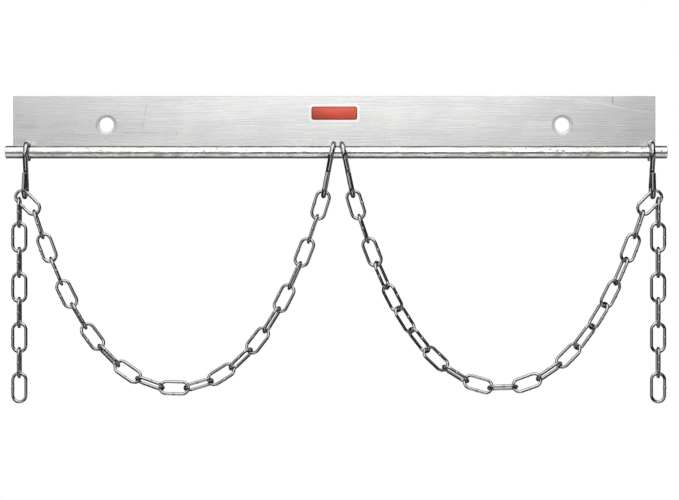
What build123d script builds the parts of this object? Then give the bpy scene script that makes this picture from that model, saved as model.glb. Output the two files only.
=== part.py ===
from build123d import *
import math
import os

# A wall bracket that holds two gas cylinders. A back plate is bolted to the wall and carries a round rod.
# Four S-hooks ride on the rod, and each cylinder is held by a chain that hangs between two of them.
# Lengths are in millimetres. X runs along the rod, the wall is the plane Y = 0, the front faces -Y and
# Z points up. The origin lies on the wall, midway between the two wall bolts.

# Back plate
plate_length = 618.0
plate_height = 60.0
plate_thickness = 5.0
plate_corner = 1.0
plate_edge = 0.4
hole_inset = 89.5
hole_below_top = 27.5
hole_diameter = 14.0
countersink_diameter = 19.0
countersink_angle = 90.0

# Label on the front of the plate
label_length = 48.6
label_height = 17.1
label_thickness = 0.3
label_corner = 3.0
label_rise = 11.0

# Rod and the blocks that carry it off the plate
rod_diameter = 12.0
rod_overhang_left = 4.0
rod_overhang_right = 8.0
rod_above_plate_bottom = 5.0
rod_clear_of_plate = 14.0
rod_chamfer = 0.4
block_width = 10.0
block_height = 8.0
block_gap = 0.1
end_block_inset = 39.0
middle_block_offset = 35.0

# S-hooks bent from round wire: the upper loop goes round the rod with some play, the smaller lower one holds a link
hook_wire = 5.0
hook_play = 1.5
hook_foot_width = 10.0
hook_loop_spacing = 33.8
hook_back_leg = 6.8
hook_front_leg = 15.2
hook_tip_chamfer = 0.6
hook_seat = 0.3

# Where the hooks hang on the rod, and how far each leans outwards at the foot
left_end_hook_inset = 20.5
right_end_hook_inset = 15.0
middle_hooks_offset = 3.3
middle_hook_spacing = 7.8
left_end_lean = 2.6
left_middle_lean = 10.9
right_middle_lean = 12.0
right_end_lean = 1.5

# Chain links of round wire
link_wire = 3.0
link_inner_length = 24.1
link_inner_width = 9.5
link_gap = 0.25
loop_links = 20
links_per_node = 2
tail_links = 8
cross_link_turn = 90.0
left_twist = 28.0
right_twist = 75.0
hung_link_tilt = 45.0
hung_link_shift = 1.5
tail_seat_angle = 20.0

# Search for the curve that a loop hangs in
search_steps = 60
tightest_sag = 0.001
deepest_sag = 10.0
end_fitting_rounds = 4
first_end_slope = 60.0

# Heights and depths that follow from the sizes above
plate_top = hole_below_top
plate_bottom = plate_top - plate_height
plate_front = -plate_thickness
rod_radius = rod_diameter / 2
rod_left = -plate_length / 2 - rod_overhang_left
rod_right = plate_length / 2 + rod_overhang_right
rod_y = plate_front - rod_clear_of_plate - rod_radius
rod_z = plate_bottom + rod_above_plate_bottom

# Hook sizes that follow, measured to the middle of the wire
upper_loop = rod_radius + hook_play + hook_wire / 2
lower_loop = (hook_foot_width + hook_wire) / 2
hook_height = upper_loop + hook_loop_spacing + lower_loop
hook_top_z = rod_z + rod_radius + hook_seat + hook_wire / 2
shank_angle = math.degrees(math.asin((upper_loop + lower_loop) / hook_loop_spacing))
shank_length = math.sqrt(hook_loop_spacing**2 - (upper_loop + lower_loop) ** 2)

# Link sizes that follow, measured to the middle of the wire
link_bend = (link_inner_width + link_wire) / 2
link_straight = link_inner_length - link_inner_width
link_reach = (link_wire + link_gap) / 2
link_pitch = link_inner_length - link_gap
bend_play = (link_inner_width - link_wire) / 2 - link_gap


def point_along(start, direction, length):
    """Point at a distance from start along a direction in the XZ plane."""
    return (start[0] + direction[0] * length, start[1] + direction[1] * length)


def down_at(angle):
    """Unit direction that points down and leans towards +X by an angle from the vertical."""
    return (math.sin(math.radians(angle)), -math.cos(math.radians(angle)))


def slope_angles(sag, low_link):
    """Slope of every loop link, in radians: the tangents of a hung chain's slopes grow by equal steps."""
    return [math.atan(sag * (k - low_link)) for k in range(1, loop_links + 1)]


def bisect(is_low, low, high):
    """Value between low and high at which is_low turns false."""
    for _ in range(search_steps):
        middle = (low + high) / 2
        if is_low(middle):
            low = middle
        else:
            high = middle
    return (low + high) / 2


def hang_between(span, rise):
    """Slopes of a loop of links whose ends are a span apart, the far end higher than the near one by rise."""

    def lowest_link(sag):
        return bisect(
            lambda k: link_pitch * sum(map(math.sin, slope_angles(sag, k))) > rise, -loop_links, 2 * loop_links
        )

    def is_slack(sag):
        return link_pitch * sum(map(math.cos, slope_angles(sag, lowest_link(sag)))) > span

    sag = bisect(is_slack, tightest_sag, deepest_sag)
    return slope_angles(sag, lowest_link(sag))


def link_place(near, far, roll, y):
    """Location of a link whose two contact points are near and far in the XZ plane, rolled about its length."""
    middle = ((near[0] + far[0]) / 2, y, (near[1] + far[1]) / 2)
    along = (far[0] - near[0], 0, far[1] - near[1])
    across = (far[1] - near[1], 0, near[0] - far[0])
    return Plane(origin=middle, x_dir=across, z_dir=along).location * Location((0, 0, 0), (0, 0, roll))


def hook_place(x, lean):
    """Location of an S-hook whose top sits over the rod at x and whose foot leans towards +X."""
    return Location((x, rod_y, hook_top_z), (0, -lean, 0))


def hook_foot(x, lean):
    """Middle of the wire at the lowest point of a hook."""
    return point_along((x, hook_top_z), down_at(lean), hook_height)


class ChainSide:
    """Places of one chain: a loop from its middle hook out to a link hung on its end hook, then a tail."""

    def __init__(self, out, middle_x, middle_lean, end_x, end_lean, twist):
        self.out = out
        self.twist = twist
        self.hooks = {"middle": hook_place(middle_x, out * middle_lean), "end": hook_place(end_x, out * end_lean)}
        middle_foot = hook_foot(middle_x, out * middle_lean)
        end_foot = hook_foot(end_x, out * end_lean)
        # The hung link lies across the end hook, low towards the loop and high towards the tail.
        along = down_at(-out * hung_link_tilt)
        inward = (-out * math.cos(math.radians(hung_link_tilt)), math.sin(math.radians(hung_link_tilt)))
        hook_side = (link_inner_width - hook_wire) / 2 - hook_seat
        centre = point_along(end_foot, along, link_straight / 2 - hung_link_shift)
        self.hung_centre = point_along(centre, inward, -hook_side)
        self.hung_near = point_along(self.hung_centre, along, link_pitch / 2)
        self.hung_far = point_along(self.hung_centre, along, -link_pitch / 2)
        self.loop_points = self.hang_loop(middle_foot, point_along(self.hung_centre, along, link_straight / 2))
        # The tail hangs in the upper bend of the hung link, on the outer side of the hook.
        seat = math.radians(tail_seat_angle)
        tail_bend = point_along(self.hung_centre, along, -link_straight / 2)
        self.tail_top = point_along(tail_bend, (out * math.cos(seat), -math.sin(seat)), bend_play)

    def hang_loop(self, middle_foot, hung_bend):
        """Contact points of the loop links, from the middle hook out to the lower bend of the hung link."""
        hook_reach = (hook_wire + link_wire) / 2 + hook_seat - link_reach
        bend_reach = bend_play + link_reach
        slopes = [-math.radians(first_end_slope), math.radians(first_end_slope)]
        for _ in range(end_fitting_rounds):
            first = (self.out * math.cos(slopes[0]), math.sin(slopes[0]))
            last = (self.out * math.cos(slopes[-1]), math.sin(slopes[-1]))
            start = point_along(middle_foot, first, -hook_reach)
            finish = point_along(hung_bend, last, -bend_reach)
            slopes = hang_between(abs(finish[0] - start[0]), finish[1] - start[1])
        points = [start]
        for slope in slopes:
            points.append(point_along(points[-1], (self.out * math.cos(slope), math.sin(slope)), link_pitch))
        return points

    def loop_place(self, number):
        """Location of a loop link, counted from the middle hook. Every second link stands across its neighbours."""
        swing = self.twist * math.sin(math.pi * number / (loop_links + 1)) ** 2
        roll = cross_link_turn * ((number + 1) % 2) + swing
        return link_place(self.loop_points[number - 1], self.loop_points[number], roll, rod_y)

    def hung_place(self):
        """Location of the link that hangs on the end hook."""
        return link_place(self.hung_near, self.hung_far, 0, rod_y)

    def tail_pivot(self, number):
        """Middle of the wire at the top of a tail link, about which that link swings."""
        return point_along(self.tail_top, (0, -1), link_pitch * (number - 1))

    def tail_place(self, number):
        """Location of a tail link, counted from the top. Odd links are seen edge on, even ones face on."""
        near = point_along(self.tail_pivot(number), (0, -1), link_reach)
        far = point_along(near, (0, -1), link_pitch)
        return link_place(near, far, cross_link_turn * (number % 2), rod_y)


middle_left_x = middle_hooks_offset - middle_hook_spacing / 2
middle_right_x = middle_hooks_offset + middle_hook_spacing / 2
end_left_x = rod_left + left_end_hook_inset
end_right_x = rod_right - right_end_hook_inset
sides = {
    "left": ChainSide(-1, middle_left_x, left_middle_lean, end_left_x, left_end_lean, left_twist),
    "right": ChainSide(1, middle_right_x, right_middle_lean, end_right_x, right_end_lean, right_twist),
}
block_places = {
    "left_end": rod_left + end_block_inset,
    "left_middle": middle_hooks_offset - middle_block_offset,
    "right_middle": middle_hooks_offset + middle_block_offset,
    "right_end": rod_right - end_block_inset,
}

os.makedirs("parts", exist_ok=True)

# Back plate: a flat bar with two countersunk bolt holes
with BuildPart() as back_plate:
    with BuildSketch(Plane.XZ) as plate_outline:
        with Locations((0, (plate_top + plate_bottom) / 2)):
            RectangleRounded(plate_length, plate_height, plate_corner)
    extrude(amount=plate_thickness)
    chamfer(back_plate.faces().sort_by(Axis.Y)[0].edges(), plate_edge)
    with Locations(Plane.XZ.offset(plate_thickness)):
        with GridLocations(plate_length - 2 * hole_inset, 0, 2, 1):
            CounterSinkHole(hole_diameter / 2, countersink_diameter / 2, plate_thickness, countersink_angle)
back_plate.part.label = "back_plate"
export_step(back_plate.part, "parts/back_plate.step")

# Label: a thin plate with rounded corners, stuck on the front of the back plate
with BuildPart() as label_plate:
    with BuildSketch(Plane.XZ.offset(plate_thickness)) as label_outline:
        with Locations((0, label_rise)):
            RectangleRounded(label_length, label_height, label_corner)
    extrude(amount=label_thickness)
label_plate.part.label = "label_plate"
export_step(label_plate.part, "parts/label_plate.step")

# Rod that the hooks ride on
with BuildPart() as front_rod:
    with BuildSketch(Plane.YZ.offset(rod_left)) as rod_section:
        with Locations((rod_y, rod_z)):
            Circle(rod_radius)
    extrude(amount=rod_right - rod_left)
    chamfer(front_rod.edges().filter_by(GeomType.CIRCLE), rod_chamfer)
front_rod.part.label = "front_rod"
export_step(front_rod.part, "parts/front_rod.step")

# Blocks between plate and rod, each coped to the rod at its front
for block_name, block_x in block_places.items():
    with BuildPart() as rod_block:
        with BuildSketch(Plane.XZ.offset(plate_thickness)) as block_outline:
            with Locations((block_x, rod_z)):
                Rectangle(block_width, block_height)
        extrude(amount=rod_clear_of_plate + rod_radius)
        with BuildSketch(Plane.YZ.offset(block_x)) as saddle_section:
            with Locations((rod_y, rod_z)):
                Circle(rod_radius + block_gap)
        extrude(amount=block_width, both=True, mode=Mode.SUBTRACT)
    rod_block.part.label = f"rod_block_{block_name}"
    export_step(rod_block.part, f"parts/rod_block_{block_name}.step")

# One S-hook, hung from the middle of its wire at the top. The upper loop closes round the rod and is open at
# the back, the lower loop is open at the front, and a slanted shank runs tangent to both.
with BuildPart() as s_hook:
    for turn, loop_radius, centre_z, leg in (
        (1, upper_loop, -upper_loop, hook_back_leg),
        (-1, lower_loop, -upper_loop - hook_loop_spacing, hook_front_leg),
    ):
        loop_centre = (0, 0, centre_z)
        with BuildSketch(Plane(origin=loop_centre, x_dir=(1, 0, 0), z_dir=(0, 0, 1))) as loop_section:
            with Locations((0, turn * loop_radius)):
                Circle(hook_wire / 2)
        revolve(axis=Axis(loop_centre, (1, 0, 0)), revolution_arc=180 + shank_angle)
        extrude(loop_section.sketch, amount=-turn * leg)
    slant = Vector(0, math.sin(math.radians(shank_angle)), -math.cos(math.radians(shank_angle)))
    front = Vector(0, -math.cos(math.radians(shank_angle)), -math.sin(math.radians(shank_angle)))
    shank_start = Vector(0, 0, -upper_loop) + front * upper_loop
    with BuildSketch(Plane(origin=shank_start, x_dir=(1, 0, 0), z_dir=slant)) as shank_section:
        Circle(hook_wire / 2)
    extrude(amount=shank_length)
    tips = s_hook.faces().filter_by(GeomType.PLANE)
    chamfer(tips.edges(), hook_tip_chamfer)

# One chain link, centred on the origin with its length along Z and its width along X. Each turn of the loop
# makes one bend and the straight side that runs from it to the other bend.
with BuildPart() as link:
    for up in (1, -1):
        bend_z = up * link_straight / 2
        with BuildSketch(Plane.XY.offset(bend_z)) as bend_section:
            with Locations((link_bend, 0)):
                Circle(link_wire / 2)
        revolve(axis=Axis((0, 0, bend_z), (0, -up, 0)), revolution_arc=180)
        with BuildSketch(Plane.XY.offset(bend_z)) as side_section:
            with Locations((up * link_bend, 0)):
                Circle(link_wire / 2)
        extrude(amount=-up * link_straight)

for side_name, side in sides.items():
    # Hooks at the middle and the end of the rod
    for hook_name, place in side.hooks.items():
        with BuildPart() as hung_hook:
            with Locations(place):
                add(s_hook.part)
        hung_hook.part.label = f"{side_name}_{hook_name}_hook"
        export_step(hung_hook.part, f"parts/{side_name}_{hook_name}_hook.step")

    # Loop of the chain, two links to a node
    for first in range(1, loop_links + 1, links_per_node):
        last = min(first + links_per_node - 1, loop_links)
        with BuildPart() as loop_pair:
            with Locations(*[side.loop_place(number) for number in range(first, last + 1)]):
                add(link.part)
        loop_pair.part.label = f"{side_name}_loop_links_{first:02d}_{last:02d}"
        export_step(loop_pair.part, f"parts/{side_name}_loop_links_{first:02d}_{last:02d}.step")

    # Link that hangs on the end hook, where the loop ends and the tail starts
    with BuildPart() as hung_link:
        with Locations(side.hung_place()):
            add(link.part)
    hung_link.part.label = f"{side_name}_hung_link"
    export_step(hung_link.part, f"parts/{side_name}_hung_link.step")

    # Tail: the spare links, each free to swing on the one above
    for number in range(1, tail_links + 1):
        with BuildPart() as tail_link:
            with Locations(side.tail_place(number)):
                add(link.part)
        tail_link.part.label = f"{side_name}_tail_link_{number}"
        export_step(tail_link.part, f"parts/{side_name}_tail_link_{number}.step")
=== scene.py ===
import logging
import math
from dataclasses import dataclass, field
from enum import Enum
from typing import Callable, Iterable

import bmesh
import bpy
import numpy as np
from mathutils import Matrix, Vector


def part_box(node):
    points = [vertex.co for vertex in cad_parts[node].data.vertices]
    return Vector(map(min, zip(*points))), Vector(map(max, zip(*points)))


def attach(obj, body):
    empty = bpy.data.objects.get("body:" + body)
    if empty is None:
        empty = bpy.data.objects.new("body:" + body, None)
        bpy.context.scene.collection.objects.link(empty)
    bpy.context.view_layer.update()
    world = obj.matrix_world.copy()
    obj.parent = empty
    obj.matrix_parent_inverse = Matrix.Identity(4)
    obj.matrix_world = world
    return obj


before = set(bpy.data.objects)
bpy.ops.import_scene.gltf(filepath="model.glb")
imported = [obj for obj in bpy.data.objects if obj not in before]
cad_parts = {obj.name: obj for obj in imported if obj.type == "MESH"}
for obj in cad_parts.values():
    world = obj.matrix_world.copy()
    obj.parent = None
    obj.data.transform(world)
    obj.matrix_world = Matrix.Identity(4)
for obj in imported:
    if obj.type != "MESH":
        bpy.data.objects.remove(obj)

log = logging.getLogger("cylinder_bracket")

MM = 0.001
SNAP = 0.001 * MM
ROOT_BODY = "bracket"
X_AXIS = (1.0, 0.0, 0.0)
Z_AXIS = (0.0, 0.0, 1.0)
ORIGIN = (0.0, 0.0, 0.0)

Pair = tuple[float, float]
Triple = tuple[float, float, float]
Colour = tuple[float, float, float, float]
Socket = bpy.types.NodeSocket


class Side(Enum):
    """The two chains, named by the end of the rod that their tail hangs at."""

    LEFT = "left"
    RIGHT = "right"

    @property
    def out(self) -> int:
        """Sign along X that points from the middle of the rod to this end."""
        return -1 if self is Side.LEFT else 1


class Slot(Enum):
    """Material slots of the record."""

    PLATE = "plate_steel"
    CHAIN = "zinc_chain"
    LABEL = "label_red"


class Step(Enum):
    """Steps of arithmetic that the finishes use."""

    ADD = "ADD"
    SUBTRACT = "SUBTRACT"
    MULTIPLY = "MULTIPLY"
    DIVIDE = "DIVIDE"
    POWER = "POWER"
    SQUARE_ROOT = "SQRT"
    ABSOLUTE = "ABSOLUTE"
    LARGER = "MAXIMUM"
    ANGLE = "ARCTAN2"


class Parts(Enum):
    """Parts of a mesh that can be selected."""

    CORNERS = "VERT"
    EDGES = "EDGE"
    FACES = "FACE"


# ---------------------------------------------------------------------------------------------------------------
# Finishes
# ---------------------------------------------------------------------------------------------------------------


@dataclass(frozen=True)
class Grain:
    """Smooth noise: its cells per metre along X, Y and Z, and how fine, rough and swirled it is."""

    scale: Triple
    detail: float
    roughness: float
    distortion: float = 0.0


@dataclass(frozen=True)
class Span:
    """Eased step from the level start to the level end, as a value goes from low to high."""

    low: float
    high: float
    start: float = 0.0
    end: float = 1.0


@dataclass(frozen=True)
class Relief:
    """How much of a relief shows, and its depth in metres."""

    strength: float
    depth: float


@dataclass(frozen=True)
class Scratch:
    """Straight scratch in the XZ plane: its two ends and its width, in metres.

    The core and the body are the parts of its half width and half length that are at full strength.
    """

    start: Pair
    end: Pair
    width: float
    core: float = 0.4
    body: float = 0.7


class FinishBench:
    """Node tree of one finish, with short calls for the nodes that the finishes share."""

    def __init__(self, name: str) -> None:
        """Starts a material with one Principled shader.

        Args:
            name: Name of the material.
        """
        self.material = bpy.data.materials.new(name)
        self.material.use_nodes = True
        self.tree = self.material.node_tree
        self.shader = self.tree.nodes["Principled BSDF"]
        self.place = self.tree.nodes.new("ShaderNodeTexCoord").outputs["Object"]

    def put(self, target: Socket, value: "Socket | float | Colour") -> None:
        """Links a socket to another, or sets it to a constant.

        Args:
            target: The input that is set.
            value: What it gets.
        """
        if isinstance(value, bpy.types.NodeSocket):
            self.tree.links.new(value, target)
        else:
            target.default_value = value

    def mapped(self, scale: Triple) -> Socket:
        """Object coordinates stretched along the axes.

        Args:
            scale: Cells per metre along X, Y and Z.

        Returns:
            The vector.
        """
        node = self.tree.nodes.new("ShaderNodeMapping")
        node.inputs["Scale"].default_value = scale
        self.put(node.inputs["Vector"], self.place)
        return node.outputs["Vector"]

    def noise(self, grain: Grain) -> Socket:
        """Smooth noise from 0 to 1.

        Args:
            grain: Its scale and character.

        Returns:
            The level.
        """
        node = self.tree.nodes.new("ShaderNodeTexNoise")
        node.inputs["Scale"].default_value = 1.0
        node.inputs["Detail"].default_value = grain.detail
        node.inputs["Roughness"].default_value = grain.roughness
        node.inputs["Distortion"].default_value = grain.distortion
        self.put(node.inputs["Vector"], self.mapped(grain.scale))
        return node.outputs["Fac"]

    def cells(self, scale: Triple) -> Socket:
        """Distance to the nearest of many scattered points.

        Args:
            scale: Cells per metre along X, Y and Z.

        Returns:
            The distance, in cells.
        """
        node = self.tree.nodes.new("ShaderNodeTexVoronoi")
        node.inputs["Scale"].default_value = 1.0
        self.put(node.inputs["Vector"], self.mapped(scale))
        return node.outputs["Distance"]

    def span(self, value: Socket, step: Span) -> Socket:
        """Value taken through an eased step and held at both ends.

        Args:
            value: What is taken through it.
            step: The step.

        Returns:
            The level.
        """
        node = self.tree.nodes.new("ShaderNodeMapRange")
        node.interpolation_type = "SMOOTHSTEP"
        node.inputs["From Min"].default_value = step.low
        node.inputs["From Max"].default_value = step.high
        node.inputs["To Min"].default_value = step.start
        node.inputs["To Max"].default_value = step.end
        self.put(node.inputs["Value"], value)
        return node.outputs["Result"]

    def ramp(self, value: Socket, stops: tuple[Pair, ...]) -> Socket:
        """Value read off a line through stops.

        Args:
            value: What is looked up, from 0 to 1.
            stops: Place and level of each stop, in order.

        Returns:
            The level.
        """
        node = self.tree.nodes.new("ShaderNodeFloatCurve")
        curve = node.mapping.curves[0]
        for _ in stops[2:]:
            curve.points.new(0.5, 0.5)
        for point, stop in zip(curve.points, stops):
            point.handle_type = "VECTOR"
            point.location = stop
        node.mapping.update()
        self.put(node.inputs["Value"], value)
        return node.outputs["Value"]

    def sums(self, step: Step, first: "Socket | float", second: "Socket | float" = 0.0) -> Socket:
        """One step of arithmetic.

        Args:
            step: What is done.
            first: The first value.
            second: The second value, where the step has one.

        Returns:
            The result.
        """
        node = self.tree.nodes.new("ShaderNodeMath")
        node.operation = step.value
        self.put(node.inputs[0], first)
        self.put(node.inputs[1], second)
        return node.outputs[0]

    def plus(self, first: "Socket | float", second: "Socket | float") -> Socket:
        """The two values added."""
        return self.sums(Step.ADD, first, second)

    def times(self, first: "Socket | float", second: "Socket | float") -> Socket:
        """The two values multiplied."""
        return self.sums(Step.MULTIPLY, first, second)

    def larger(self, first: "Socket | float", second: "Socket | float") -> Socket:
        """The larger of the two values."""
        return self.sums(Step.LARGER, first, second)

    def size(self, value: Socket) -> Socket:
        """The value without its sign."""
        return self.sums(Step.ABSOLUTE, value)

    def shade(self, amount: Socket, first: "Socket | Colour", second: "Socket | Colour") -> Socket:
        """Colour between two colours.

        Args:
            amount: 0 at the first colour and 1 at the second.
            first: The first colour.
            second: The second colour.

        Returns:
            The colour.
        """
        node = self.tree.nodes.new("ShaderNodeMix")
        node.data_type = "RGBA"
        self.put(node.inputs["Factor"], amount)
        # A Mix node keeps its colours on inputs 6 and 7 and on output 2.
        self.put(node.inputs[6], first)
        self.put(node.inputs[7], second)
        return node.outputs[2]

    def blend(self, amount: Socket, first: "Socket | float", second: "Socket | float") -> Socket:
        """Value between two values.

        Args:
            amount: 0 at the first value and 1 at the second.
            first: The first value.
            second: The second value.

        Returns:
            The value.
        """
        node = self.tree.nodes.new("ShaderNodeMix")
        self.put(node.inputs["Factor"], amount)
        # A Mix node keeps its numbers on inputs 2 and 3 and on output 0.
        self.put(node.inputs[2], first)
        self.put(node.inputs[3], second)
        return node.outputs[0]

    def along(self, direction: Triple, centre: Triple = ORIGIN) -> Socket:
        """Distance from a centre along a direction.

        Args:
            direction: The direction, of length 1.
            centre: Where the distance is 0.

        Returns:
            The distance in metres.
        """
        from_centre = self.tree.nodes.new("ShaderNodeVectorMath")
        from_centre.operation = "SUBTRACT"
        self.put(from_centre.inputs[0], self.place)
        from_centre.inputs[1].default_value = centre
        dot = self.tree.nodes.new("ShaderNodeVectorMath")
        dot.operation = "DOT_PRODUCT"
        self.put(dot.inputs[0], from_centre.outputs["Vector"])
        dot.inputs[1].default_value = direction
        return dot.outputs["Value"]

    def stroke(self, scratch: Scratch) -> Socket:
        """Mask of a straight scratch, 1 on its line and 0 beside it.

        Args:
            scratch: The scratch.

        Returns:
            The mask.
        """
        (start_x, start_z), (end_x, end_z) = scratch.start, scratch.end
        run = Vector((end_x - start_x, 0.0, end_z - start_z))
        centre = ((start_x + end_x) / 2, 0.0, (start_z + end_z) / 2)
        way = run.normalized()
        beside = self.size(self.along((-way.z, 0.0, way.x), centre))
        down = self.size(self.along(tuple(way), centre))
        half_width, half_length = scratch.width / 2, run.length / 2
        across = self.span(beside, Span(scratch.core * half_width, half_width, 1.0, 0.0))
        inside = self.span(down, Span(scratch.body * half_length, half_length, 1.0, 0.0))
        return self.times(across, inside)

    def bump(self, height: Socket, relief: Relief, normal: Socket | None = None) -> Socket:
        """Normal of a surface with a relief.

        Args:
            height: Height from 0 to 1.
            relief: How much of it shows, and how deep it is.
            normal: Normal to add the relief to, if any.

        Returns:
            The normal.
        """
        node = self.tree.nodes.new("ShaderNodeBump")
        node.inputs["Strength"].default_value = relief.strength
        node.inputs["Distance"].default_value = relief.depth
        self.put(node.inputs["Height"], height)
        if normal is not None:
            self.put(node.inputs["Normal"], normal)
        return node.outputs["Normal"]

    def finish(
        self, colour: Socket, metallic: "Socket | float", roughness: Socket, normal: Socket
    ) -> bpy.types.Material:
        """Joins the finish to the shader.

        Args:
            colour: Base colour.
            metallic: 1 for bare metal and 0 for film or paint.
            roughness: Roughness.
            normal: Normal with the relief.

        Returns:
            The material.
        """
        inputs = {"Base Color": colour, "Metallic": metallic, "Roughness": roughness, "Normal": normal}
        for name, value in inputs.items():
            self.put(self.shader.inputs[name], value)
        return self.material


@dataclass(frozen=True)
class BrushedPlateFinish:
    """Mill-brushed steel: long fine lines along the plate, clouds, a few handling marks and bright cut edges.

    The cutter's cones at the two holes are paler and duller, inside a dark burr line that is faint above and below.
    """

    name: str = "brushed plate steel"
    light: Colour = (0.71, 0.71, 0.70, 1.0)
    dark: Colour = (0.62, 0.625, 0.62, 1.0)
    edge: Colour = (0.78, 0.78, 0.76, 1.0)
    mark: Colour = (0.30, 0.29, 0.27, 1.0)
    rub: Colour = (0.86, 0.86, 0.85, 1.0)
    lines: Grain = Grain((22.0, 400.0, 1100.0), 2.0, 0.6)
    streaks: Grain = Grain((7.0, 60.0, 210.0), 4.0, 0.65)
    clouds: Grain = Grain((26.0, 26.0, 40.0), 3.0, 0.55, 0.4)
    streak_share: float = 0.5
    tone: Span = Span(0.32, 0.68)
    polish: Span = Span(0.3, 0.7, 0.25, 0.33)
    line_relief: Relief = Relief(0.3, 0.10 * MM)
    cloud_relief: Relief = Relief(0.12, 0.3 * MM)
    half_length: float = 309 * MM
    cut_fade: Pair = (0.9 * MM, 0.4 * MM)
    cut_strength: float = 0.6
    hole_places: tuple[float, ...] = (-219.5 * MM, 219.5 * MM)
    cutter_radius: float = 9.9 * MM
    cutter_fade: float = 0.2 * MM
    cutter_metallic: float = 0.35
    cutter_roughness: float = 0.6
    burr_radius: float = 9.7 * MM
    burr_width: float = 0.8 * MM
    burr_core: float = 0.4
    burr_strength: float = 0.85
    burr_flanks: Span = Span(0.4, 0.85, 0.15, 1.0)
    mark_strength: float = 0.8
    rub_strength: float = 0.75
    dark_marks: tuple[Scratch, ...] = (
        Scratch((0.2673, 0.0275), (0.2685, 0.0196), 1.3 * MM),
        Scratch((-0.1806, 0.0200), (-0.1824, 0.0070), 0.7 * MM),
        Scratch((-0.1824, 0.0075), (-0.1855, -0.0075), 0.5 * MM),
        Scratch((-0.2080, -0.0078), (-0.1680, -0.0083), 0.6 * MM),
        Scratch((-0.1517, -0.0058), (-0.1519, -0.0115), 0.6 * MM),
        Scratch((-0.1379, 0.0211), (-0.1379, 0.0200), 1.4 * MM),
    )
    light_rubs: tuple[Scratch, ...] = (
        Scratch((0.2280, 0.0250), (0.2640, 0.0188), 1.0 * MM),
        Scratch((0.2600, 0.0196), (0.2812, 0.0151), 1.3 * MM),
        Scratch((0.2780, 0.0158), (0.3010, 0.0117), 1.0 * MM),
        Scratch((0.1900, 0.0262), (0.2320, 0.0243), 0.8 * MM),
    )

    def handled(self, bench: FinishBench, colour: Socket) -> Socket:
        """Adds the rubs, the marks and the bright cut ends to the brushed steel.

        Args:
            bench: Bench of the finish.
            colour: Colour of the brushed steel.

        Returns:
            The colour.
        """
        for scratch in self.light_rubs:
            colour = bench.shade(bench.times(bench.stroke(scratch), self.rub_strength), colour, self.rub)
        for scratch in self.dark_marks:
            colour = bench.shade(bench.times(bench.stroke(scratch), self.mark_strength), colour, self.mark)
        ends = bench.size(bench.along(X_AXIS))
        low, high = (self.half_length - fade for fade in self.cut_fade)
        return bench.shade(bench.span(ends, Span(low, high, 0.0, self.cut_strength)), colour, self.edge)

    def countersinks(self, bench: FinishBench) -> tuple[Socket, Socket]:
        """Masks of what the cutter left at the two holes.

        Args:
            bench: Bench of the finish.

        Returns:
            Mask of the cut cones, and mask of the dark burr line round them.
        """
        cones: Socket | float = 0.0
        burrs: Socket | float = 0.0
        half_width, flanks = self.burr_width / 2, self.burr_flanks
        line_edge = Span(self.burr_core * half_width, half_width, self.burr_strength, 0.0)
        flank_edge = Span(flanks.low * self.burr_radius, flanks.high * self.burr_radius, flanks.start, flanks.end)
        for hole in self.hole_places:
            beside = bench.along(X_AXIS, (hole, 0.0, 0.0))
            above = bench.along(Z_AXIS, (hole, 0.0, 0.0))
            squares = (bench.sums(Step.POWER, distance, 2.0) for distance in (beside, above))
            reach = bench.sums(Step.SQUARE_ROOT, bench.plus(*squares))
            cone = bench.span(reach, Span(self.cutter_radius - self.cutter_fade, self.cutter_radius, 1.0, 0.0))
            cones = bench.larger(cone, cones)
            line = bench.span(bench.size(bench.sums(Step.SUBTRACT, reach, self.burr_radius)), line_edge)
            burrs = bench.larger(bench.times(line, bench.span(bench.size(beside), flank_edge)), burrs)
        return cones, burrs

    def material(self) -> bpy.types.Material:
        """Builds the material.

        Returns:
            The material.
        """
        bench = FinishBench(self.name)
        lines, streaks, clouds = (bench.noise(grain) for grain in (self.lines, self.streaks, self.clouds))
        tone = bench.plus(bench.times(streaks, self.streak_share), bench.times(clouds, 1.0 - self.streak_share))
        colour = self.handled(bench, bench.shade(bench.span(tone, self.tone), self.dark, self.light))
        cones, burrs = self.countersinks(bench)
        return bench.finish(
            colour=bench.shade(burrs, colour, self.mark),
            metallic=bench.blend(cones, 1.0, self.cutter_metallic),
            roughness=bench.blend(cones, bench.span(lines, self.polish), self.cutter_roughness),
            normal=bench.bump(clouds, self.cloud_relief, bench.bump(lines, self.line_relief)),
        )


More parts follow.
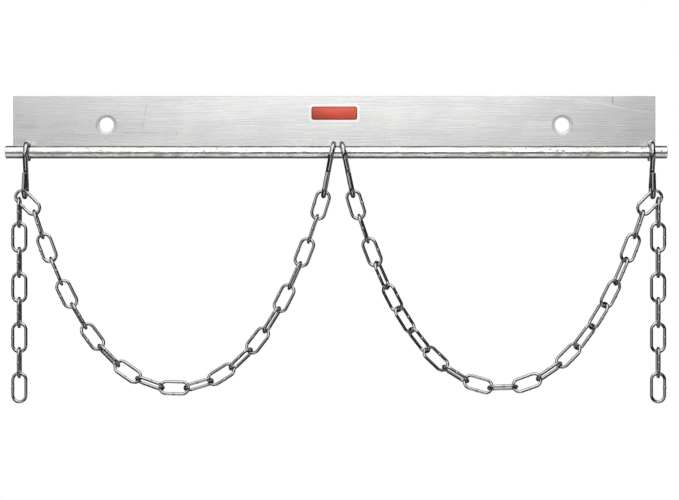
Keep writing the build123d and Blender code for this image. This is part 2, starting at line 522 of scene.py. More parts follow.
@dataclass(frozen=True)
class RodSteelFinish:
    """Bright drawn bar: drawing lines along the rod, grey scale in patches, small dark pits and a painted shade line
    along its top.
    """

    name: str = "drawn rod steel"
    bright: Colour = (0.74, 0.74, 0.72, 1.0)
    scale: Colour = (0.46, 0.47, 0.44, 1.0)
    pit: Colour = (0.10, 0.10, 0.09, 1.0)
    # Near-black colour of the painted shade line along the top of the rod.
    painted_shade: Colour = (0.025, 0.025, 0.023, 1.0)
    metallic: float = 0.9
    lines: Grain = Grain((30.0, 1800.0, 1800.0), 2.0, 0.6)
    patches: Grain = Grain((70.0, 240.0, 240.0), 4.0, 0.6, 0.6)
    pitted_areas: Grain = Grain((22.0, 60.0, 60.0), 2.0, 0.5)
    pit_scale: Triple = (150.0, 260.0, 260.0)
    pit_edge: Span = Span(0.10, 0.26, 1.0, 0.0)
    pit_area_edge: Span = Span(0.50, 0.60)
    pit_strength: float = 0.85
    scale_edge: Span = Span(0.42, 0.66, 0.0, 0.8)
    # Centre line of the rod, and the height band and waver of the painted shade line along its top.
    centre_line: Triple = (0.0, -25 * MM, -27.5 * MM)
    painted_shade_edge: Span = Span(4.8 * MM, 4.95 * MM, 0.0, 0.95)
    painted_shade_waver: Span = Span(0.3, 0.7, -0.25 * MM, 0.25 * MM)
    polish: Span = Span(0.35, 0.7, 0.16, 0.34)
    line_relief: Relief = Relief(0.25, 0.02 * MM)
    patch_relief: Relief = Relief(0.5, 0.45 * MM)
    pit_relief: Relief = Relief(0.8, 0.25 * MM)

    def material(self) -> bpy.types.Material:
        """Builds the material.

        Returns:
            The material.
        """
        bench = FinishBench(self.name)
        lines, patches, areas = (bench.noise(grain) for grain in (self.lines, self.patches, self.pitted_areas))
        pits = bench.times(
            bench.span(bench.cells(self.pit_scale), self.pit_edge), bench.span(areas, self.pit_area_edge)
        )
        colour = bench.shade(bench.span(patches, self.scale_edge), self.bright, self.scale)
        colour = bench.shade(bench.times(pits, self.pit_strength), colour, self.pit)
        # Height above the rod's centre line, with a waver, for the painted shade line along its top.
        rise = bench.plus(bench.along(Z_AXIS, self.centre_line), bench.span(patches, self.painted_shade_waver))
        relief = bench.bump(patches, self.patch_relief, bench.bump(lines, self.line_relief))
        return bench.finish(
            colour=bench.shade(bench.span(rise, self.painted_shade_edge), colour, self.painted_shade),
            metallic=self.metallic,
            roughness=bench.span(patches, self.polish),
            normal=bench.bump(bench.sums(Step.SUBTRACT, 1.0, pits), self.pit_relief, relief),
        )


@dataclass(frozen=True)
class BrightZincFinish:
    """Bright zinc plate on round wire: a cool, slightly blue and yellow film over wire that was bent cold."""

    name: str
    clear: Colour = (0.42, 0.435, 0.44, 1.0)
    blue: Colour = (0.35, 0.39, 0.435, 1.0)
    straw: Colour = (0.43, 0.42, 0.37, 1.0)
    film: Grain = Grain((90.0,) * 3, 3.0, 0.55, 0.5)
    waves: Grain = Grain((260.0,) * 3, 3.0, 0.55)
    grit: Grain = Grain((1400.0,) * 3, 2.0, 0.5)
    blue_edge: Span = Span(0.50, 0.72)
    straw_edge: Span = Span(0.28, 0.46, 0.7, 0.0)
    polish: Span = Span(0.35, 0.7, 0.07, 0.16)
    wave_relief: Relief = Relief(0.5, 0.035 * MM)
    grit_relief: Relief = Relief(0.2, 0.02 * MM)

    def material(self) -> bpy.types.Material:
        """Builds the material.

        Returns:
            The material.
        """
        bench = FinishBench(self.name)
        film, waves, grit = (bench.noise(grain) for grain in (self.film, self.waves, self.grit))
        colour = bench.shade(bench.span(film, self.blue_edge), self.clear, self.blue)
        return bench.finish(
            colour=bench.shade(bench.span(film, self.straw_edge), colour, self.straw),
            metallic=1.0,
            roughness=bench.span(waves, self.polish),
            normal=bench.bump(waves, self.wave_relief, bench.bump(grit, self.grit_relief)),
        )


@dataclass(frozen=True)
class WeldFinish:
    """Weld metal of the beads: duller and rougher than the plate, with heat tint."""

    name: str = "weld metal"
    bright: Colour = (0.70, 0.71, 0.70, 1.0)
    tint: Colour = (0.46, 0.42, 0.36, 1.0)
    heat: Grain = Grain((420.0,) * 3, 3.0, 0.6)
    tint_edge: Span = Span(0.4, 0.65)
    polish: Span = Span(0.3, 0.7, 0.28, 0.5)
    relief: Relief = Relief(0.6, 0.12 * MM)

    def material(self) -> bpy.types.Material:
        """Builds the material.

        Returns:
            The material.
        """
        bench = FinishBench(self.name)
        heat = bench.noise(self.heat)
        return bench.finish(
            colour=bench.shade(bench.span(heat, self.tint_edge), self.bright, self.tint),
            metallic=1.0,
            roughness=bench.span(heat, self.polish),
            normal=bench.bump(heat, self.relief),
        )


@dataclass(frozen=True)
class LabelFinish:
    """Printed plastic film: even colour with painted shade darker towards the lower left corner, and a little orange
    peel and dust.
    """

    name: str
    colour: Colour
    # Colour that the painted shade and the random wash darken the label towards.
    shadow: Colour
    wash: Grain = Grain((60.0, 60.0, 110.0), 3.0, 0.55, 0.4)
    wash_tone: Span = Span(0.4, 0.7, 0.0, 0.35)
    # Direction, centre and tone of the painted shade that darkens the label towards its lower left corner.
    slope: Triple = (0.6, 0.0, 0.8)
    slope_centre: Triple = (0.0, 0.0, 11 * MM)
    painted_shade_tone: Span = Span(-16 * MM, 2 * MM, 0.75, 0.0)
    polish: Span = Span(0.3, 0.7, 0.28, 0.40)
    peel: Grain = Grain((1500.0,) * 3, 1.0, 0.5)
    peel_relief: Relief = Relief(0.15, 0.01 * MM)

    def material(self) -> bpy.types.Material:
        """Builds the material.

        Returns:
            The material.
        """
        bench = FinishBench(self.name)
        wash, peel = bench.noise(self.wash), bench.noise(self.peel)
        # Painted shade: darker towards the lower left corner of the label.
        low = bench.span(bench.along(self.slope, self.slope_centre), self.painted_shade_tone)
        return bench.finish(
            colour=bench.shade(bench.plus(low, bench.span(wash, self.wash_tone)), self.colour, self.shadow),
            metallic=0.0,
            roughness=bench.span(wash, self.polish),
            normal=bench.bump(peel, self.peel_relief),
        )


# ---------------------------------------------------------------------------------------------------------------
# Modelling bench
# ---------------------------------------------------------------------------------------------------------------


def deselect_all() -> None:
    """Leaves object mode with nothing selected."""
    if bpy.context.object is not None and bpy.context.object.mode != "OBJECT":
        bpy.ops.object.mode_set(mode="OBJECT")
    bpy.ops.object.select_all(action="DESELECT")


def pick(obj: bpy.types.Object, parts: Parts, wanted: Callable[[bmesh.types.BMVert], bool]) -> None:
    """Selects the parts of a mesh whose every corner passes a test.

    Args:
        obj: The object, in edit mode.
        parts: Which parts are selected.
        wanted: Test of one corner.
    """
    bpy.ops.mesh.select_mode(type=parts.value)
    bpy.ops.mesh.select_all(action="DESELECT")
    mesh = bmesh.from_edit_mesh(obj.data)
    for part in {Parts.CORNERS: mesh.verts, Parts.EDGES: mesh.edges, Parts.FACES: mesh.faces}[parts]:
        corners = [part] if parts is Parts.CORNERS else part.verts
        if all(wanted(corner) for corner in corners):
            part.select_set(True)
    mesh.select_flush_mode()
    bmesh.update_edit_mesh(obj.data)


def at_height(height: float) -> Callable[[bmesh.types.BMVert], bool]:
    """Test for the corners at one height."""
    return lambda corner: abs(corner.co.z - height) < SNAP


def turn_outwards() -> None:
    """Turns every face of the mesh in edit mode outwards."""
    bpy.ops.mesh.select_all(action="SELECT")
    bpy.ops.mesh.normals_make_consistent(inside=False)


def place_copy(template: bpy.types.Object, name: str, place: Matrix) -> bpy.types.Object:
    """Copies a template with its own mesh, puts the place into the mesh and leaves the object at the origin.

    Args:
        template: The piece that is repeated.
        name: Name of the copy.
        place: Where it goes, in the frame of the bracket.

    Returns:
        The copy.
    """
    copy = template.copy()
    copy.data = template.data.copy()
    copy.name = name
    copy.data.name = name
    bpy.context.scene.collection.objects.link(copy)
    copy.data.transform(place)
    return copy


def axes_at(centre: Vector, across: Vector, along: Vector) -> Matrix:
    """Place of a piece that is modelled along Z.

    Args:
        centre: Where its origin goes.
        across: Where its X points, as nearly as its Z allows.
        along: Where its Z points.

    Returns:
        The place.
    """
    z = along.normalized()
    x = (across - z * across.dot(z)).normalized()
    y = z.cross(x)
    place = Matrix((x, y, z)).transposed().to_4x4()
    place.translation = centre
    return place


@dataclass
class RingedBarrel:
    """A round barrel along Z whose rings swell and narrow, for weld flash and weld beads.

    The profile lists the height and radius of each ring, from the lowest up.
    """

    name: str
    profile: tuple[Pair, ...]
    segments: int
    flatten: float = 1.0
    blank_radius: float = 1 * MM
    cap_inset: float = 0.35
    smooth_angle: float = math.radians(50)

    def build(self) -> bpy.types.Object:
        """Models the barrel from a cylinder that is cut into rings, each scaled to the profile.

        Returns:
            The barrel at the origin, to be copied.
        """
        deselect_all()
        heights = [height for height, _ in self.profile]
        bpy.ops.mesh.primitive_cylinder_add(
            vertices=self.segments, radius=self.blank_radius, depth=heights[-1] - heights[0], end_fill_type="NGON"
        )
        barrel = bpy.context.object
        barrel.name = self.name
        barrel.data.transform(Matrix.Translation((0, 0, (heights[-1] + heights[0]) / 2)))
        bpy.ops.object.mode_set(mode="EDIT")
        for height in heights[1:-1]:
            bpy.ops.mesh.select_all(action="SELECT")
            bpy.ops.mesh.bisect(plane_co=(0, 0, height), plane_no=Z_AXIS)
        for height, radius in self.profile:
            pick(barrel, Parts.CORNERS, at_height(height))
            size = radius / self.blank_radius
            bpy.ops.transform.resize(value=(size, size * self.flatten, 1.0), center_override=(0, 0, height))
        for height, radius in (self.profile[-1], self.profile[0]):
            pick(barrel, Parts.FACES, at_height(height))
            bpy.ops.mesh.inset(thickness=self.cap_inset * radius)
        turn_outwards()
        bpy.ops.object.mode_set(mode="OBJECT")
        bpy.ops.object.shade_smooth_by_angle(angle=self.smooth_angle)
        return barrel


# ---------------------------------------------------------------------------------------------------------------
# Sub-assemblies
# ---------------------------------------------------------------------------------------------------------------


@dataclass
class Finishes:
    """Every finish of the bracket, made once."""

    plate: bpy.types.Material = field(init=False)
    rod: bpy.types.Material = field(init=False)
    hook: bpy.types.Material = field(init=False)
    chain: bpy.types.Material = field(init=False)
    weld: bpy.types.Material = field(init=False)
    label_border: bpy.types.Material = field(init=False)
    label_field: bpy.types.Material = field(init=False)
    # Dark red finish of the painted shade rim round the red field.
    label_shade_rim: bpy.types.Material = field(init=False)

    def __post_init__(self) -> None:
        """Makes the materials. The hooks are bent from thicker wire, so their waves are longer and deeper."""
        hook_waves, hook_relief = Grain((160.0,) * 3, 3.0, 0.55), Relief(0.5, 0.12 * MM)
        border, border_shadow = (0.90, 0.87, 0.82, 1.0), (0.80, 0.76, 0.70, 1.0)
        red, red_shadow = (0.62, 0.058, 0.026, 1.0), (0.40, 0.045, 0.022, 1.0)
        # Dark red colours of the painted shade rim round the red field.
        dark_red, dark_red_shadow = (0.22, 0.02, 0.015, 1.0), (0.14, 0.015, 0.01, 1.0)
        self.plate = BrushedPlateFinish().material()
        self.rod = RodSteelFinish().material()
        self.hook = BrightZincFinish("bright zinc hook", waves=hook_waves, wave_relief=hook_relief).material()
        self.chain = BrightZincFinish("bright zinc chain").material()
        self.weld = WeldFinish().material()
        self.label_border = LabelFinish("label border", border, border_shadow).material()
        self.label_field = LabelFinish("label red", red, red_shadow).material()
        self.label_shade_rim = LabelFinish("label dark red", dark_red, dark_red_shadow).material()


def dress_node(node: str, material: bpy.types.Material) -> None:
    """Gives a CAD node its finish.

    Args:
        node: Name of the node.
        material: Its finish.
    """
    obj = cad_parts[node]
    if not obj.material_slots:
        obj.data.materials.append(material)
    for slot in obj.material_slots:
        slot.material = material
    log.info("finish of %s: %s", node, material.name)


def dress_piece(piece: bpy.types.Object, material: bpy.types.Material, body: str) -> None:
    """Gives a new piece its finish and the body it rides on.

    Args:
        piece: The piece.
        material: Its finish.
        body: Name of the body.
    """
    piece.data.materials.clear()
    piece.data.materials.append(material)
    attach(piece, body)
    log.info("piece %s rides on %s", piece.name, body)


@dataclass
class Label:
    """Blank red label: a raised red field with a dark red rim of painted shade round it, inside the white border
    plate.
    """

    node: str = "label_plate"
    field_length: float = 42.1 * MM
    field_height: float = 10.8 * MM
    field_corner: float = 1.2 * MM
    field_rise: float = 0.16 * MM
    # Width and rise of the dark red panel that is painted shade round the red field.
    shade_rim_width: float = 1.0 * MM
    shade_rim_rise: float = 0.08 * MM
    corner_segments: int = 8
    edge_bevel: float = 0.3
    edge_segments: int = 2
    smooth_angle: float = math.radians(40)

    def panel(self, name: str, margin: float, rise: float) -> bpy.types.Object:
        """Models a thin panel with round corners on the front of the label.

        Args:
            name: Name of the panel.
            margin: How far it reaches past the red field on every side.
            rise: How far it stands out of the label.

        Returns:
            The panel.
        """
        low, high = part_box(self.node)
        centre = (low + high) / 2
        length, height = self.field_length + 2 * margin, self.field_height + 2 * margin
        deselect_all()
        bpy.ops.mesh.primitive_plane_add(size=1.0, rotation=(math.radians(90), 0, 0))
        panel = bpy.context.object
        panel.name = name
        panel.data.transform(panel.matrix_world)
        panel.matrix_world = Matrix.Identity(4)
        bpy.ops.object.mode_set(mode="EDIT")
        bpy.ops.mesh.select_all(action="SELECT")
        bpy.ops.transform.resize(value=(length, 1.0, height), center_override=ORIGIN)
        bpy.ops.mesh.bevel(offset=self.field_corner + margin, segments=self.corner_segments, affect="VERTICES")
        bpy.ops.mesh.select_all(action="SELECT")
        bpy.ops.mesh.extrude_region_move(TRANSFORM_OT_translate={"value": (0, -rise, 0)})
        turn_outwards()
        pick(panel, Parts.EDGES, lambda corner: corner.co.y < -rise / 2)
        bpy.ops.mesh.bevel(offset=self.edge_bevel * rise, segments=self.edge_segments, affect="EDGES")
        bpy.ops.object.mode_set(mode="OBJECT")
        panel.data.transform(Matrix.Translation((centre.x, low.y, centre.z)))
        bpy.ops.object.shade_smooth_by_angle(angle=self.smooth_angle)
        return panel

    def build(self, finishes: Finishes) -> None:
        """Builds the painted shade rim and the field and dresses the border plate.

        Args:
            finishes: The finishes of the bracket.
        """
        dress_node(self.node, finishes.label_border)
        # A dark red panel just larger than the red field, painted shade round its edge.
        rim = self.panel("label_shade_rim", self.shade_rim_width, self.shade_rim_rise)
        dress_piece(rim, finishes.label_shade_rim, ROOT_BODY)
        red = self.panel("label_field", 0.0, self.field_rise)
        dress_piece(red, finishes.label_field, ROOT_BODY)


@dataclass
class RodMount:
    """Back plate, rod and the blocks between them, with the weld beads that join them.

    The bead's tip, dips and taper are parts of its radius.
    """

    plate: str = "back_plate"
    rod: str = "front_rod"
    blocks: tuple[str, ...] = (
        "rod_block_left_end",
        "rod_block_left_middle",
        "rod_block_right_middle",
        "rod_block_right_end",
    )
    wide_bead: float = 8.5 * MM
    tall_bead: float = 7.0 * MM
    bead_radius: float = 1.1 * MM
    bead_tip: float = 0.35
    bead_ripples: int = 6
    bead_segments: int = 16
    ripple_dip: float = 0.86
    taper_start: float = 0.62
    taper_rings: int = 2

    def bead_template(self, name: str, length: float) -> bpy.types.Object:
        """Models a weld bead along Z with rounded ends and a ripple for each pass of the torch.

        Args:
            name: Name of the template.
            length: Length of the bead.

        Returns:
            The bead at the origin, to be copied.
        """
        steps = 2 * self.bead_ripples
        profile = [(-length / 2, self.bead_tip * self.bead_radius)]
        for step in range(1, steps):
            swell = 1.0 if step % 2 else self.ripple_dip
            from_tip = min(step, steps - step) / self.taper_rings
            taper = min(1.0, self.taper_start + (1.0 - self.taper_start) * from_tip)
            profile.append((-length / 2 + length * step / steps, self.bead_radius * swell * taper))
        profile.append((length / 2, self.bead_tip * self.bead_radius))
        return RingedBarrel(name, tuple(profile), self.bead_segments).build()

    def build(self, finishes: Finishes) -> None:
        """Dresses the plate, rod and blocks, and lays the beads round each block.

        Args:
            finishes: The finishes of the bracket.
        """
        dress_node(self.plate, finishes.plate)
        dress_node(self.rod, finishes.rod)
        rod_low, rod_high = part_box(self.rod)
        rod_centre = (rod_low + rod_high) / 2
        rod_radius = (rod_high.z - rod_low.z) / 2
        wide = self.bead_template("bead_wide_template", self.wide_bead)
        tall = self.bead_template("bead_tall_template", self.tall_bead)
        level, upright = Vector(X_AXIS), Vector(Z_AXIS)
        for block in self.blocks:
            dress_node(block, finishes.plate)
            low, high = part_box(block)
            middle = (low + high) / 2
            half_height = (high.z - low.z) / 2
            rod_back = rod_centre.y + math.sqrt(rod_radius**2 - half_height**2)
            lines = {
                "plate_top": (wide, Vector((middle.x, high.y, high.z)), level),
                "plate_left": (tall, Vector((low.x, high.y, middle.z)), upright),
                "plate_right": (tall, Vector((high.x, high.y, middle.z)), upright),
                "rod_top": (wide, Vector((middle.x, rod_back, high.z)), level),
                "rod_bottom": (wide, Vector((middle.x, rod_back, low.z)), level),
            }
            for line, (template, centre, along) in lines.items():
                bead = place_copy(template, f"{block}_weld_{line}", axes_at(centre, Vector((0, 1, 0)), along))
                dress_piece(bead, finishes.weld, ROOT_BODY)
        for template in (wide, tall):
            bpy.data.objects.remove(template)


@dataclass(frozen=True)
class LinkPlace:
    """Where one link of a chain lies: its centre, its long axis and the axis across its two sides."""

    centre: Vector
    along: Vector
    across: Vector


def loose_parts(mesh: bmesh.types.BMesh) -> list[np.ndarray]:
    """Sorts the corners of a mesh by the loose part that they belong to.

    Args:
        mesh: The mesh, with its doubles merged.

    Returns:
        The corners of each loose part.
    """
    seen: set[int] = set()
    parts = []
    for start in mesh.verts:
        if start.index in seen:
            continue
        seen.add(start.index)
        part, queue = [], [start]
        while queue:
            corner = queue.pop()
            part.append(corner.co[:])
            for edge in corner.link_edges:
                other = edge.other_vert(corner)
                if other.index not in seen:
                    seen.add(other.index)
                    queue.append(other)
        parts.append(np.array(part))
    return parts


def links_of(node: str) -> list[LinkPlace]:
    """Finds each link of a CAD node by its loose parts and their principal axes.

    Args:
        node: Name of the CAD node.

    Returns:
        One place for each link.
    """
    mesh = bmesh.new()
    mesh.from_mesh(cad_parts[node].data)
    bmesh.ops.remove_doubles(mesh, verts=mesh.verts, dist=SNAP)
    mesh.verts.ensure_lookup_table()
    places = []
    for points in loose_parts(mesh):
        spread = np.linalg.svd(points - points.mean(0), full_matrices=False)[2]
        local = (points - points.mean(0)) @ spread.T
        offset = (local.max(0) + local.min(0)) / 2
        centre = points.mean(0) + offset @ spread
        places.append(LinkPlace(Vector(centre), Vector(spread[0]), Vector(spread[1])))
    mesh.free()
    return places


@dataclass(frozen=True)
class WeldFlash:
    """Ring of metal pressed out where a link is butt welded, with a fine groove at its middle.

    The half profile lists the height and radius of each ring in millimetres, from the groove up.
    """

    half_profile: tuple[Pair, ...] = ((0.0, 1.60), (0.1, 1.72), (0.3, 1.78), (0.7, 1.66), (1.2, 1.53), (1.7, 1.42))
    segments: int = 18
    flatten: float = 0.97

    def template(self) -> bpy.types.Object:
        """Models the ring, the same above and below its groove.

        Returns:
            The ring at the origin, to be copied.
        """
        upper = tuple((height * MM, radius * MM) for height, radius in self.half_profile)
        lower = tuple((-height, radius) for height, radius in reversed(upper[1:]))
        return RingedBarrel("flash_template", lower + upper, self.segments, self.flatten).build()


@dataclass
class ChainSide:
    """One chain with its two hooks: the finishes, and the weld flash on one side of every link.

    The bend radius is measured to the middle of the wire, and the seam's lean is towards the front and down.
    """

    side: Side
    seam: bpy.types.Object
    bend_radius: float = 6.25 * MM
    loop_links: int = 20
    tail_links: int = 8
    hooks: tuple[str, ...] = ("middle", "end")
    seam_lean: Pair = (-0.6, -0.35)

    @property
    def loop_nodes(self) -> list[str]:
        """CAD nodes of the loop, two links in each."""
        return [f"{self.side.value}_loop_links_{n:02d}_{n + 1:02d}" for n in range(1, self.loop_links, 2)]

    @property
    def tail_nodes(self) -> list[str]:
        """CAD nodes of the tail, one link in each."""
        return [f"{self.side.value}_tail_link_{n}" for n in range(1, self.tail_links + 1)]

    def outwards(self, link: LinkPlace) -> float:
        """How far a link lies from the middle of the rod, towards this side's end."""
        return self.side.out * link.centre.x

    def flash_link(self, name: str, link: LinkPlace, body: str, material: bpy.types.Material) -> None:
        """Puts the weld flash half-way along the outer, front or lower side of a link.

        Args:
            name: Name of the piece.
            link: The link that it goes on.
            body: Body that it rides on.
            material: Its finish.
        """
        across = link.across.normalized()
        if across.dot(Vector((self.side.out, *self.seam_lean))) < 0:
            across = -across
        place = axes_at(link.centre + across * self.bend_radius, across, link.along)
        dress_piece(place_copy(self.seam, name, place), material, body)

    def build(self, finishes: Finishes) -> None:
        """Dresses the hooks and links and welds every link shut.

        Args:
            finishes: The finishes of the bracket.
        """
        name = self.side.value
        for hook in self.hooks:
            dress_node(f"{name}_{hook}_hook", finishes.hook)
        for node in [*self.loop_nodes, f"{name}_hung_link"]:
            dress_node(node, finishes.chain)
            for count, link in enumerate(sorted(links_of(node), key=self.outwards), 1):
                self.flash_link(f"{node}_flash_{count}", link, f"{name}_loop", finishes.chain)
        for number, node in enumerate(self.tail_nodes, 1):
            dress_node(node, finishes.chain)
            for link in links_of(node):
                self.flash_link(f"{node}_flash", link, f"{name}_tail_{number}", finishes.chain)


# ---------------------------------------------------------------------------------------------------------------
# Studio
# ---------------------------------------------------------------------------------------------------------------


@dataclass(frozen=True)
class LightTent:
    """Shell round the bracket that only metal reflects: white above, pale below, and dark behind and to the right.

    The arc lists the levels along the upright circle through the front, by the angle above the front in degrees. The
    band lists the levels just below eye level, by the part of the radius to the right. The spans shade the tent by
    the part of the radius to the right, to the back or upwards. The ground is a pale patch low behind and to the
    right, which keeps the plate from going black when it is seen from the back or from the left.
    """

    radius: float = 10.0
    segments: int = 48
    rings: int = 24
    top_level: float = 2.0
    arc: tuple[Pair, ...] = (
        (-180.0, 0.02),
        (-102.0, 0.02),
        (-88.0, 0.60),
        (-66.0, 0.80),
        (-48.0, 1.30),
        (-36.0, 0.75),
        (-28.0, 0.12),
        (-3.0, 0.14),
        (5.0, 0.70),
        (12.0, 1.20),
        (24.0, 1.40),
        (32.0, 0.50),
        (82.0, 0.50),
        (88.0, 1.40),
        (95.0, 1.40),
        (102.0, 0.02),
        (180.0, 0.02),
    )
    band: tuple[Pair, ...] = (
        (-1.0, 0.02),
        (-0.80, 0.02),
        (-0.74, 1.60),
        (-0.44, 1.60),
        (-0.34, 0.04),
        (1.0, 0.02),
    )
    band_bottom: Span = Span(-0.30, -0.18)
    band_top: Span = Span(-0.02, 0.08, 1.0, 0.0)
    dark: float = 0.02
    right_edge: Span = Span(0.25, 0.31)
    right_top: Span = Span(0.50, 0.75, 1.0, 0.0)
    low_left_edge: Span = Span(-0.30, -0.20, 1.0, 0.0)
    low_left_top: Span = Span(-0.32, -0.20, 1.0, 0.0)
    back_edge: Span = Span(0.06, 0.18)
    back_glow: Span = Span(0.90, 0.97, 0.0, 0.60)
    ground_bottom: Span = Span(-0.50, -0.38)
    ground_top: Span = Span(-0.12, -0.05, 0.40, 0.0)
    ground_back: Span = Span(0.50, 0.62)
    ground_right: Span = Span(0.45, 0.60)

    def level(self, bench: FinishBench) -> Socket:
        """Level of light that comes from each direction.

        Args:
            bench: Bench of the tent's material.

        Returns:
            The level.
        """
        way = bench.tree.nodes.new("ShaderNodeVectorMath")
        way.operation = "NORMALIZE"
        bench.put(way.inputs[0], bench.place)
        split = bench.tree.nodes.new("ShaderNodeSeparateXYZ")
        bench.put(split.inputs[0], way.outputs["Vector"])
        right, back, up = (split.outputs[axis] for axis in "XYZ")
        rise = bench.sums(Step.ANGLE, up, bench.times(back, -1.0))
        turn = bench.plus(bench.sums(Step.DIVIDE, rise, 2 * math.pi), 0.5)
        stops = tuple((angle / 360.0 + 0.5, level / self.top_level) for angle, level in self.arc)
        arc = bench.times(bench.ramp(turn, stops), self.top_level)
        across = bench.plus(bench.times(right, 0.5), 0.5)
        band = bench.ramp(across, tuple((place / 2 + 0.5, level) for place, level in self.band))
        near = bench.times(bench.span(up, self.band_bottom), bench.span(up, self.band_top))
        beside = bench.times(bench.span(right, self.right_edge), bench.span(up, self.right_top))
        below = bench.times(bench.span(right, self.low_left_edge), bench.span(up, self.low_left_top))
        shadow = bench.larger(bench.larger(beside, bench.span(back, self.back_edge)), below)
        lit = bench.blend(shadow, bench.blend(near, arc, band), self.dark)
        ground = bench.times(bench.span(up, self.ground_bottom), bench.span(up, self.ground_top))
        around = bench.larger(bench.span(back, self.ground_back), bench.span(right, self.ground_right))
        pale = bench.larger(bench.times(ground, around), bench.span(back, self.back_glow))
        return bench.larger(lit, pale)

    def build(self) -> None:
        """Puts up the tent."""
        deselect_all()
        bpy.ops.mesh.primitive_uv_sphere_add(segments=self.segments, ring_count=self.rings, radius=self.radius)
        tent = bpy.context.object
        tent.name = "light_tent"
        bench = FinishBench("light tent")
        glow = bench.tree.nodes.new("ShaderNodeEmission")
        bench.put(glow.inputs["Strength"], self.level(bench))
        bench.put(bench.tree.nodes["Material Output"].inputs["Surface"], glow.outputs[0])
        bench.tree.nodes.remove(bench.shader)
        tent.data.materials.append(bench.material)
        tent.visible_camera = False
        tent.visible_diffuse = False
        tent.visible_transmission = False
        tent.visible_shadow = False


@dataclass(frozen=True)
class SoftLight:
    """Rectangular soft box, with its width and height and its radiance."""

    name: str
    centre: Triple
    aim: Triple
    size: Pair
    radiance: float

    def build(self) -> None:
        """Sets up the lamp with the power that gives its radiance."""
        lamp = bpy.data.lights.new(self.name, "AREA")
        lamp.shape = "RECTANGLE"
        width, height = self.size
        lamp.size, lamp.size_y = width, height
        lamp.energy = self.radiance * math.pi * width * height
        obj = bpy.data.objects.new(self.name, lamp)
        bpy.context.scene.collection.objects.link(obj)
        obj.location = self.centre
        way = Vector(self.aim) - Vector(self.centre)
        obj.rotation_euler = way.to_track_quat("-Z", "Y").to_euler()
        obj.visible_camera = False


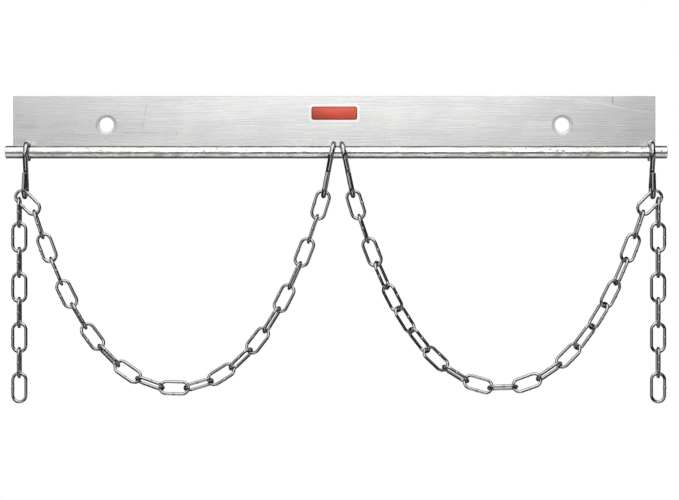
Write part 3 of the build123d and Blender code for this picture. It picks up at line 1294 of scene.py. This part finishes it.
@dataclass
class Studio:
    """Camera, pale floor, white surroundings and soft lights."""

    camera_place: Triple = (0.005, -2.025, -0.1207)
    half_view: float = math.radians(9.189)
    film_width: float = 36.0
    clip: Pair = (0.01, 50.0)
    white: Colour = (1.0, 1.0, 1.0, 1.0)
    seen_level: float = 1.0
    ambient_level: float = 0.75
    floor_height: float = -0.62
    floor_radius: float = 1.6
    floor_corners: int = 96
    floor_fade: Pair = (0.45, 0.97)
    floor_colour: Colour = (0.92, 0.92, 0.92, 1.0)
    floor_roughness: float = 0.9
    lights: tuple[SoftLight, ...] = (
        SoftLight("key", (0.17, -2.1, 0.95), (0.0, 0.0, -0.1), (1.1, 0.9), 1.2),
        SoftLight("overhead", (0.0, -0.75, 1.1), (0.0, -0.02, -0.1), (2.0, 1.3), 1.5),
        SoftLight("glow", (0.01, -2.2, 0.40), (0.0, 0.0, 0.0), (1.0, 0.5), 1.5),
    )
    tent: LightTent = LightTent()

    def aim_camera(self) -> None:
        """Looks straight on from in front of the rod."""
        lens = bpy.data.cameras.new("camera")
        lens.sensor_width = self.film_width
        lens.lens = self.film_width / 2 / math.tan(self.half_view)
        lens.clip_start, lens.clip_end = self.clip
        camera = bpy.data.objects.new("camera", lens)
        bpy.context.scene.collection.objects.link(camera)
        camera.location = self.camera_place
        camera.rotation_euler = (math.radians(90), 0.0, 0.0)
        bpy.context.scene.camera = camera

    def paint_world(self) -> None:
        """White where it is seen directly or in metal, dimmer as light on the bracket."""
        world = bpy.data.worlds.new("studio")
        bpy.context.scene.world = world
        world.use_nodes = True
        tree = world.node_tree
        tree.nodes.clear()
        path = tree.nodes.new("ShaderNodeLightPath")
        seen = path.outputs["Is Camera Ray"]
        for ray in ("Is Glossy Ray", "Is Transmission Ray"):
            either = tree.nodes.new("ShaderNodeMath")
            either.operation = Step.LARGER.value
            tree.links.new(seen, either.inputs[0])
            tree.links.new(path.outputs[ray], either.inputs[1])
            seen = either.outputs[0]
        mix = tree.nodes.new("ShaderNodeMixShader")
        tree.links.new(seen, mix.inputs[0])
        for socket, level in zip(mix.inputs[1:], (self.ambient_level, self.seen_level)):
            background = tree.nodes.new("ShaderNodeBackground")
            background.inputs["Color"].default_value = self.white
            background.inputs["Strength"].default_value = level
            tree.links.new(background.outputs[0], socket)
        tree.links.new(mix.outputs[0], tree.nodes.new("ShaderNodeOutputWorld").inputs["Surface"])

    def lay_floor(self) -> None:
        """Pale round floor that fades out at its rim."""
        deselect_all()
        bpy.ops.mesh.primitive_circle_add(
            vertices=self.floor_corners, radius=self.floor_radius, fill_type="NGON"
        )
        floor = bpy.context.object
        floor.name = "floor"
        floor.data.transform(Matrix.Translation((0, 0, self.floor_height)))
        bench = FinishBench("floor")
        bench.put(bench.shader.inputs["Base Color"], self.floor_colour)
        bench.put(bench.shader.inputs["Roughness"], self.floor_roughness)
        reach = bench.tree.nodes.new("ShaderNodeVectorMath")
        reach.operation = "LENGTH"
        bench.put(reach.inputs[0], bench.mapped((1.0, 1.0, 0.0)))
        start, end = (part * self.floor_radius for part in self.floor_fade)
        clear = bench.tree.nodes.new("ShaderNodeBsdfTransparent")
        mix = bench.tree.nodes.new("ShaderNodeMixShader")
        bench.put(mix.inputs[0], bench.span(reach.outputs["Value"], Span(start, end)))
        bench.put(mix.inputs[1], bench.shader.outputs[0])
        bench.put(mix.inputs[2], clear.outputs[0])
        bench.put(bench.tree.nodes["Material Output"].inputs["Surface"], mix.outputs[0])
        floor.data.materials.append(bench.material)
        floor.visible_glossy = False

    def build(self) -> None:
        """Sets the whole studio up."""
        self.aim_camera()
        self.paint_world()
        self.lay_floor()
        for light in self.lights:
            light.build()
            log.info("studio light: %s", light.name)
        self.tent.build()
        bpy.context.scene.view_settings.view_transform = "Standard"


def main() -> None:
    """Builds the studio, the finishes and every sub-assembly in order."""
    logging.basicConfig(level=logging.INFO, format="%(name)s: %(message)s")
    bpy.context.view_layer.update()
    Studio().build()
    finishes = Finishes()
    RodMount().build(finishes)
    Label().build(finishes)
    seam = WeldFlash().template()
    for side in Side:
        ChainSide(side, seam).build(finishes)
    bpy.data.objects.remove(seam)


if __name__ == "__main__":
    main()
